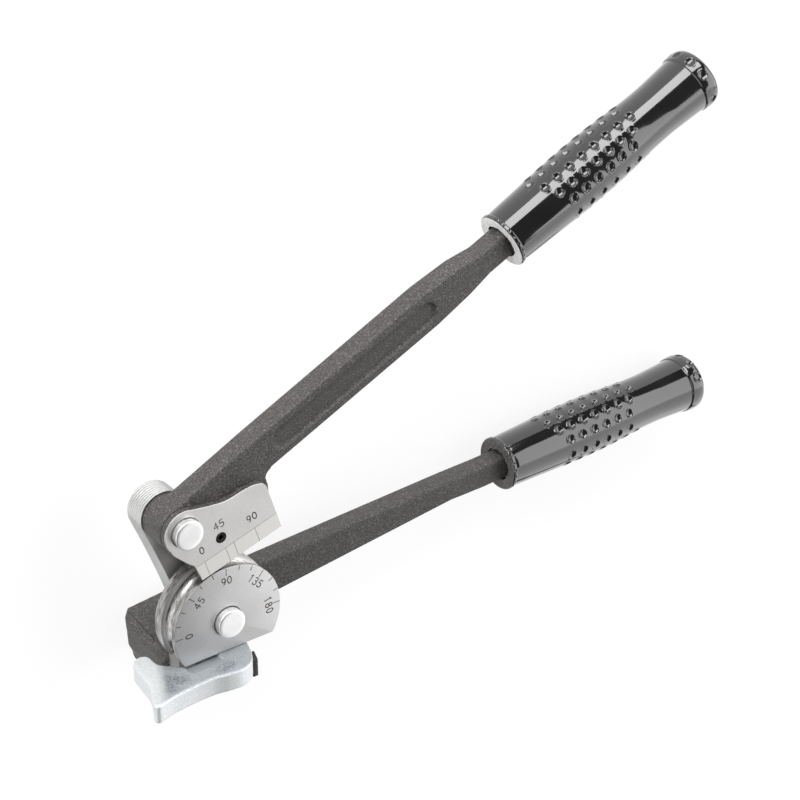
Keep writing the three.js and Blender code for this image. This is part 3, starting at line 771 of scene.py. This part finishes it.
# Each digit in a square of one by one
STROKES = {
    "0": [oval(0.5, 0.5, 0.34, 0.5, 21)],
    "1": [[(0.26, 0.8), (0.5, 1.0), (0.5, 0.0)]],
    "3": [
        [(0.18, 0.9), (0.34, 1.0), (0.58, 1.0), (0.78, 0.88), (0.78, 0.66), (0.6, 0.54), (0.4, 0.53)],
        [(0.6, 0.54), (0.82, 0.4), (0.84, 0.18), (0.64, 0.01), (0.34, 0.0), (0.15, 0.12)],
    ],
    "4": [[(0.66, 0.0), (0.66, 1.0), (0.14, 0.32), (0.88, 0.32)]],
    "5": [
        [(0.8, 1.0), (0.28, 1.0), (0.22, 0.56), (0.5, 0.62), (0.76, 0.52)]
        + [(0.84, 0.3), (0.7, 0.06), (0.42, 0.0), (0.16, 0.1)],
    ],
    "8": [oval(0.5, 0.76, 0.27, 0.24, 17), oval(0.5, 0.26, 0.34, 0.26, 17)],
    "9": [oval(0.5, 0.7, 0.31, 0.3, 19), [(0.81, 0.68), (0.78, 0.4), (0.62, 0.1), (0.44, 0.0)]],
}
DIGIT_HEIGHT = 3.0
DIGIT_SHAPE = 0.82
DIGIT_LINE = 0.42
MARK_TOP = 0.015
MARK_DEPTH = 0.1


class Marks:
    """Engraved strokes, gathered into one thin piece that lies in a face."""

    def __init__(self, name, place):
        self.name, self.place = name, place
        self.points, self.faces = [], []

    def stroke(self, line, width):
        """A line through points, as straight strokes with round ends."""
        for (x0, y0), (x1, y1) in zip(line, line[1:]):
            a = math.degrees(math.atan2(y1 - y0, x1 - x0))
            far = arc((x1, y1), width / 2, a - 90, a + 90, 6)
            ring = np.concatenate([far, arc((x0, y0), width / 2, a + 90, a + 270, 6)])
            n, k = len(ring), len(self.points)
            for z in (MARK_TOP, MARK_TOP - MARK_DEPTH):
                self.points += [(x, y, z) for x, y in ring]
            self.faces.append(tuple(range(k, k + n)))
            self.faces.append(tuple(range(k + 2 * n - 1, k + n - 1, -1)))
            self.faces += band(k, k + n, n, inward=True)

    def text(self, words, centre, turn, pitch):
        a = math.radians(turn)
        across, up = (math.cos(a), math.sin(a)), (-math.sin(a), math.cos(a))
        for i, digit in enumerate(words):
            shift = (i - (len(words) - 1) / 2) * pitch
            for line in STROKES[digit]:
                local = np.array(line) - 0.5
                local = local * (DIGIT_HEIGHT * DIGIT_SHAPE, DIGIT_HEIGHT) + (shift, 0.0)
                self.stroke(local @ np.array([across, up]) + centre, DIGIT_LINE)

    def done(self, body, material):
        mesh = bpy.data.meshes.new(self.name)
        mesh.from_pydata(self.place(self.points).tolist(), [], self.faces)
        finish_piece(add_object(self.name, mesh), material, body, "machined")


dial = Marks("form_marks", FORM)
TICK_END = 23.5
for reading in range(0, 181, 15):
    a = math.radians(180 - reading)
    inner = 20.5 if reading % 45 == 0 else 21.8
    dial.stroke([(r * math.cos(a), r * math.sin(a)) for r in (inner, TICK_END)], 0.34)
for reading, centre, turn, pitch in (
    ("0", (-17.57, -0.09), 90.0, 2.9),
    ("45", (-12.35, 12.97), 45.8, 2.7),
    ("90", (0.03, 18.2), 1.7, 2.6),
    ("135", (12.9, 13.1), -46.4, 2.7),
    ("180", (18.55, -0.1), -83.4, 2.65),
):
    dial.text(reading, centre, turn, pitch)
dial.done("form_handle", MARK)

rail_lines = Marks("shoe_lines", SHOE)
rail_lines.stroke([(SHOE_LEFT + 0.4, SHOE_LINE), (SHOE_RIGHT - 0.4, SHOE_LINE)], 0.24)
for along in (2.65, 12.37, 16.2, 26.15):
    rail_lines.stroke([(along, SHOE_EDGE + 0.3), (along, SHOE_LINE)], 0.26)
rail_lines.done("shoe_handle", LINE)
rail_marks = Marks("shoe_numbers", SHOE)
for words, centre in (("0", (3.2, -11.6)), ("45", (13.1, -5.8)), ("90", (26.5, -11.9))):
    rail_marks.text(words, centre, 0.0, 2.58)
rail_marks.done("shoe_handle", MARK_FAINT)

# ---------------------------------------------------------------- latch

LATCH_SHARES = [
    (0.141, 0.23), (0.098, 0.515), (0.041, 0.73), (-0.03, 0.86), (-0.118, 0.92), (-0.239, 0.905),
    (-0.368, 0.85), (-0.514, 0.84), (-0.661, 0.86), (-0.798, 0.895), (-0.898, 0.95), (-0.955, 0.99),
    (-0.991, 0.97), (-1, 0.875), (-0.973, 0.76), (-0.923, 0.525), (-0.886, 0.275), (-0.861, -0.165),
    (-0.845, -0.425), (-0.818, -0.535), (-0.784, -0.595), (-0.736, -0.615), (-0.689, -0.57),
    (-0.668, -0.46), (-0.668, -0.27), (-0.645, -0.135), (-0.591, -0.02), (-0.532, 0.1), (-0.489, 0.18),
]
arm = spline([(LATCH_LENGTH * a, LATCH_WIDTH * b) for a, b in LATCH_SHARES], steps=4)
round_end = arc((0, 0), LATCH_ROUND, 190, 360, 30)
latch_outline = np.concatenate([arm, [(-15.0, 3.6)], round_end])
latch = prism("latch_cast", latch_outline[::-1], 0.0, LATCH_THICK, LATCH, LATCH_EDGE, axis="Y")
drill(latch, LATCH, SCREW + FIT, -10, 2, 48, axis="Y")
# The upper face lies lower between the tab and the pivot
relief = [(-12.0, 5.5), (LATCH_AT[1], 5.5), (-14.7, 0.0), (-14.7, -13.5), (-12.0, -13.5)]
join_cut(latch, bar("relief", relief, -20.2, -5.0, FORM), "DIFFERENCE")
soften(latch, 0.3, 4)
finish_piece(latch, ZINC, "latch", "zinc", "latch")
# The upper face takes the darker copy of the zinc, painted shade
second(latch, ZINC_SHADED_FACE, lambda centre, normal: normal.y > 0.7)

# ---------------------------------------------------------------- grips

GRIP_LENGTH = 111.8
GRIP_RADIUS = 12.0
GRIP_ROWS = 350
GRIP_AROUND = 276
# The sleeve and its collar: how far along the length, and the radius, both as shares
GRIP_SHARES = [
    (0.02, 0.955), (0.07, 0.98), (0.134, 1.0), (0.224, 1.03), (0.313, 1.053), (0.4, 1.062),
    (0.49, 1.055), (0.58, 1.02), (0.67, 0.972), (0.76, 0.96), (0.823, 0.98), (0.903, 1.02),
    (0.925, 1.032),
]
COLLAR_SHARES = [
    (0.9265, 1.06), (0.929, 1.075), (0.944, 1.093), (0.957, 1.1), (0.975, 1.085), (0.988, 1.03),
    (0.996, 0.93), (1.0, 0.78),
]
FLANGE = [(0.0, 11.3), (0.1, 11.65), (0.5, 12.0), (1.6, 12.0), (1.95, 11.8), (2.1, 11.4)]
FLANGE_END = 2.5
GRIP_BORE = [(0.0, 10.9), (0.0, 9.0), (0.05, 7.35), (0.4, 7.1), (2.2, 7.05), (2.4, 4.8), (88.0, 4.8)]
# Rows of dimples: the angle from the moulded line, the first dimple's place, and the count
DIMPLE_ROWS = [
    (10.5, 30.6, 6), (35.5, 26.9, 7), (60, 24.1, 8), (85, 21.2, 8), (112, 24.1, 8), (140, 26.9, 7),
    (169, 30.6, 6), (-25, 30.7, 6), (-53, 30.0, 7), (-90, 27.0, 7), (-127, 30.0, 7), (-153, 30.7, 6),
]
DIMPLE_PITCH = 6.76
COLLAR_AT = 106.4
COLLAR_PITCH = 32.7
COLLAR_FIRST = 33.5
COLLAR_ANGLES = [COLLAR_FIRST + k * COLLAR_PITCH for k in range(9)]
# One more dimple of the upper grip's collar, which stands out of step with the others
COLLAR_EXTRA = COLLAR_FIRST - 1.67 * COLLAR_PITCH
FLANGE_AT = 0.95
FLANGE_DIMPLES = 24
# Radius and depth of the three kinds of dimples
SLEEVE_SIZE = (1.95, 1.0)
COLLAR_SIZE = (2.0, 0.9)
FLANGE_SIZE = (0.45, 0.4)


def grip_outline():
    """Points along the sleeve and their radii, four times as close where it isn't plain."""
    size = (GRIP_LENGTH, GRIP_RADIUS)
    sleeve = spline(np.array(GRIP_SHARES) * size, steps=24)
    collar = spline(np.array(COLLAR_SHARES) * size, steps=12)
    outside = np.concatenate([FLANGE, sleeve[sleeve[:, 0] > 2.25], collar])
    length = np.r_[0, np.cumsum(np.hypot(*np.diff(outside, axis=0).T))]
    every = np.linspace(0, length[-1], 4000)
    reach = np.interp(every, length, outside[:, 0])
    plain = ((reach > 2.6) & (reach < 20.0)) | ((reach > 94.0) & (reach < 102.0))
    density = np.cumsum(np.where(plain, 1.0, 4.0))
    rows = np.interp(np.linspace(density[0], density[-1], GRIP_ROWS), density, every)
    return np.interp(rows, length, outside[:, 0]), np.interp(rows, length, outside[:, 1])


def grip(name, place, line, start, collar_angles, cut, body, node):
    """A dipped sleeve: dimples in staggered rows, a flange, a domed collar and a moulded line.

    The moulded line lies at an angle and again opposite it. All dimples but the flange's small
    ones are moved along the sleeve by the start.
    """
    s, r = grip_outline()
    phi = np.linspace(0, 2 * np.pi, GRIP_AROUND, endpoint=False)
    along, angle = np.meshgrid(s, phi, indexing="ij")
    radius = np.repeat(r[:, None], GRIP_AROUND, 1)
    depth = np.zeros_like(radius)
    lip = np.zeros_like(radius)

    def dimple(at, where, size, deep):
        """A bowl with a raised lip just outside its edge."""
        turn = (angle - math.radians(where) + np.pi) % (2 * np.pi) - np.pi
        d = np.hypot(along - at, turn * radius) / size
        bowl = np.where(d < 1, deep * np.clip(1 - d**2, 0, 1) ** 0.8, 0)
        np.maximum(depth, bowl, out=depth)
        np.maximum(lip, 0.05 * size * np.exp(-(((d - 1.1) / 0.16) ** 2)), out=lip)

    for offset, first, count in DIMPLE_ROWS:
        for k in range(count):
            dimple(first + start + DIMPLE_PITCH * k, line + offset, *SLEEVE_SIZE)
    for where in collar_angles:
        dimple(COLLAR_AT + start, where, *COLLAR_SIZE)
    for k in range(FLANGE_DIMPLES):
        dimple(FLANGE_AT, line + 11.5 + k * 360 / FLANGE_DIMPLES, *FLANGE_SIZE)
    seam = (angle - math.radians(line) + np.pi / 2) % np.pi - np.pi / 2
    on_sleeve = along > FLANGE_END
    ridge = 0.09 * np.exp(-((seam * radius / 0.22) ** 2)) * on_sleeve
    fading = np.exp(-((seam * radius / 3.5) ** 2))
    step = 0.12 / (1 + np.exp(-seam * radius / 0.12)) * on_sleeve * fading
    radius = radius - depth + lip * (depth < 0.02) + ridge + step

    points = np.stack([along, radius * np.sin(angle), radius * np.cos(angle)], -1)
    points = points.reshape(-1, 3).tolist()
    last = (GRIP_ROWS - 1) * GRIP_AROUND
    faces = []
    for i in range(0, last, GRIP_AROUND):
        faces += band(i, i + GRIP_AROUND, GRIP_AROUND)
    before = 0
    torn = 0.12 * np.sin(7 * phi + line) + 0.09 * np.sin(17 * phi + 2 * line)
    for x, inner in GRIP_BORE:
        faces += band(before, len(points), GRIP_AROUND, inward=True)
        before = len(points)
        edge = inner + torn * (7.0 < inner < 8.0)
        points += [(x, q * math.sin(a), q * math.cos(a)) for a, q in zip(phi, edge)]
    faces.append(tuple(range(before, before + GRIP_AROUND)))
    before = last
    for share in (0.6, 0.3):
        faces += band(before, len(points), GRIP_AROUND)
        before = len(points)
        x, q = GRIP_LENGTH + 0.12 * (1 - share), r[-1] * share
        points += [(x, q * math.sin(a), q * math.cos(a)) for a in phi]
    faces.append(tuple(range(before, before + GRIP_AROUND)))

    obj = mesh_object(name, points, faces, place, 40)
    finish_piece(obj, VINYL, body, "vinyl", node)
    mouth, far = (Vector(place([(x, 0.0, 0.0)])[0]) for x in (0.0, 1.0))
    out = (far - mouth).normalized()

    def trimmed_end(centre, normal):
        return normal.dot(out) < -0.8 and (centre - mouth).dot(out) < 0.3 * MM

    second(obj, cut, trimmed_end)


# The lower sleeve's cut end is painted shade, the upper sleeve's painted light
grip(
    "form_grip_sleeve", FORM_GRIP, 13.0, 1.7, COLLAR_ANGLES, CUT_PAINTED_SHADE,
    "form_handle", "form_handle_grip",
)
grip(
    "shoe_grip_sleeve", SHOE_GRIP, 4.5, 0.0, COLLAR_ANGLES + [COLLAR_EXTRA], CUT_PAINTED_LIT,
    "shoe_handle", "shoe_handle_grip",
)

# ---------------------------------------------------------------- small pieces


def open_ring(name, seat, place, body, node):
    """A spring ring of rounded section with a gap of 40 degrees."""
    inner, outer = PIN - PIN_GROOVE + FIT, PIN + 2.0
    r0, z0 = (inner + outer) / 2, seat - FIT - RING_THICK / 2
    half_r, half_z = (outer - inner) / 2, RING_THICK / 2
    section = []
    for a in np.linspace(0, 2 * math.pi, 24, endpoint=False):
        c, d = math.cos(a), math.sin(a)
        r = r0 + half_r * math.copysign(abs(c) ** 0.4, c)
        section.append((r, z0 + half_z * math.copysign(abs(d) ** 0.4, d)))
    turns = np.radians(np.linspace(20, 340, 97))
    points = [(r * math.cos(t), r * math.sin(t), z) for t in turns for r, z in section]
    n = len(section)
    last = len(points) - n
    faces = []
    for start in range(0, last, n):
        faces += band(start, start + n, n)
    faces += [tuple(range(n)), tuple(range(last + n - 1, last - 1, -1))]
    finish_piece(mesh_object(name, points, faces, place, 40), OXIDE, body, "black_steel", node)


open_ring("form_pin_clip", BACK_EAR_BOTTOM, FORM, "form_handle", "form_pin_ring")
open_ring("shoe_pin_clip", LINK_BOTTOM, SHOE, "shoe_handle", "shoe_pin_ring")

DOWEL = [(0, -15.6), (1.0, -15.6), (1.25, -15.35), (1.25, -11.75), (1.0, -11.5), (0, -11.5)]
for i, x in enumerate((-9.1, 9.1)):
    dowel = lathe(f"form_dowel_turned_{i + 1}", DOWEL, placed(0.0, (x, 0.0, 0.0)), 48)
    shade(dowel, 35)
    finish_piece(dowel, BRIGHT, "form_handle", "bright", f"form_dowel_{i + 1}")

# The latch's screw: the head in front of the latch, then the shank into the form's flat
head = LATCH_THICK + FIT
profile = [(0, -head - 2.4), (3.5, -head - 2.4), (3.95, -head - 2.2), (4.2, -head - 1.8)]
profile += [(4.2, -head - 0.25), (4.0, -head), (SCREW, -head)]
profile += [(SCREW, 4.4), (SCREW - 0.5, 4.9), (0, 4.9)]
screw = lathe("latch_screw_turned", profile, LATCH, 72, axis="Y")
socket = arc((0, 0), 1.75, 0, 300, 5)
cutter = prism("socket", socket[::-1], head + 1.0, head + 4.0, LATCH, axis="Y")
join_cut(screw, cutter, "DIFFERENCE")
outward(screw)
shade(screw, 30)
finish_piece(screw, BRIGHT, "form_handle", "bright", "latch_screw")

stop = [(6.26, 4.9), (8.704, 4.9), (6.812, 10.6), (4.37, 10.6)]
clip = prism("latch_stop", stop, 4.6, 12.5, LATCH, axis="Y")
bevel = clip.modifiers.new("bevel", "BEVEL")
bevel.width = 0.35 * MM
bevel.segments = 3
apply_modifiers(clip)
outward(clip)
shade(clip, 40)
finish_piece(clip, WORN_OXIDE, "latch", "black_steel", "latch_detent_clip")

# ---------------------------------------------------------------- floor, light and camera


def floor_material():
    """White that glows to the rays which show the floor, and plain to those which bounce off it."""
    material = bpy.data.materials.new("floor_white")
    material.use_nodes = True
    tree = material.node_tree
    tree.nodes.clear()
    bounced = shader_node(tree, "BsdfDiffuse", {"Color": (0.86, 0.86, 0.86, 1)})
    shown = shader_node(tree, "BsdfDiffuse", {"Color": (0.21, 0.21, 0.21, 1)})
    glow = shader_node(tree, "Emission", {"Strength": 0.83})
    bright = shader_node(tree, "AddShader", {0: shown.outputs[0], 1: glow.outputs[0]})
    rays = shader_node(tree, "LightPath").outputs
    seen = rays["Is Camera Ray"]
    for ray in ("Is Glossy Ray", "Is Transmission Ray"):
        seen = shader_node(tree, "Math", {0: seen, 1: rays[ray]}, operation="MAXIMUM").outputs[0]
    both = {0: seen, 1: bounced.outputs[0], 2: bright.outputs[0]}
    choose = shader_node(tree, "MixShader", both)
    shader_node(tree, "OutputMaterial", {"Surface": choose.outputs[0]})
    return material


floor_mesh = bpy.data.meshes.new("floor")
floor_mesh.from_pydata([(-6, -6, 0), (6, -6, 0), (6, 6, 0), (-6, 6, 0)], [], [(0, 1, 2, 3)])
floor_mesh.materials.append(floor_material())
floor = add_object("floor", floor_mesh)
floor.location.z = -0.6 * MM

world = bpy.data.worlds.new("studio")
world.use_nodes = True
world.node_tree.nodes["Background"].inputs["Color"].default_value = (1, 1, 1, 1)
world.node_tree.nodes["Background"].inputs["Strength"].default_value = 0.12
bpy.context.scene.world = world


def softbox(name, at, aim, width, height, radiance):
    """A rectangular lamp of a given brightness, whatever its size."""
    data = bpy.data.lights.new(name, "AREA")
    data.shape = "RECTANGLE"
    data.size = width
    data.size_y = height
    data.energy = radiance * math.pi * width * height
    direction = Vector(aim) - Vector(at)
    turn = direction.to_track_quat("-Z", "Y").to_matrix().to_4x4()
    add_object(name, data).matrix_world = Matrix.Translation(at) @ turn


softbox("box_over", (1.58, 0.75, 1.28), (0.05, 0.83, -0.01), 2.34, 2.06, 2.4)
softbox("box_front", (1.62, -1.79, 1.06), (0.09, -1.71, -0.22), 2.6, 2.62, 1.3)
softbox("box_side", (-0.68, 2.09, 0.72), (0.0, 0.0, 0.72), 3.9, 1.3, 6.0)
softbox("box_left", (-2.0, -0.35, 0.9), (0.0, 0.0, 0.03), 2.0, 1.4, 1.5)

# The photograph's camera: its focal length in pixels, its place in the drawing and its directions
PHOTO_WIDTH = 800.0
FOCAL_PIXELS = 2186.8918
CAMERA_AT = (-360.413, 473.509, 600.121)
camera_data = bpy.data.cameras.new("camera")
camera_data.sensor_width = 36.0
camera_data.lens = 36.0 * FOCAL_PIXELS / PHOTO_WIDTH
camera_data.clip_start = 0.05
camera_data.clip_end = 50
camera = add_object("camera", camera_data)
right = Vector((0.8042064, -0.0022100, 0.5943461))
up = Vector((0.2845968, 0.8793297, -0.3818167))
behind = Vector((-0.5217823, 0.4762084, 0.7077915))
turn = Matrix((right, up, behind)).transposed().to_4x4()
camera.matrix_world = Matrix.Translation(FORM([CAMERA_AT])[0]) @ turn
bpy.context.scene.camera = camera
bpy.context.scene.view_settings.view_transform = "Standard"

bpy.context.view_layer.update()
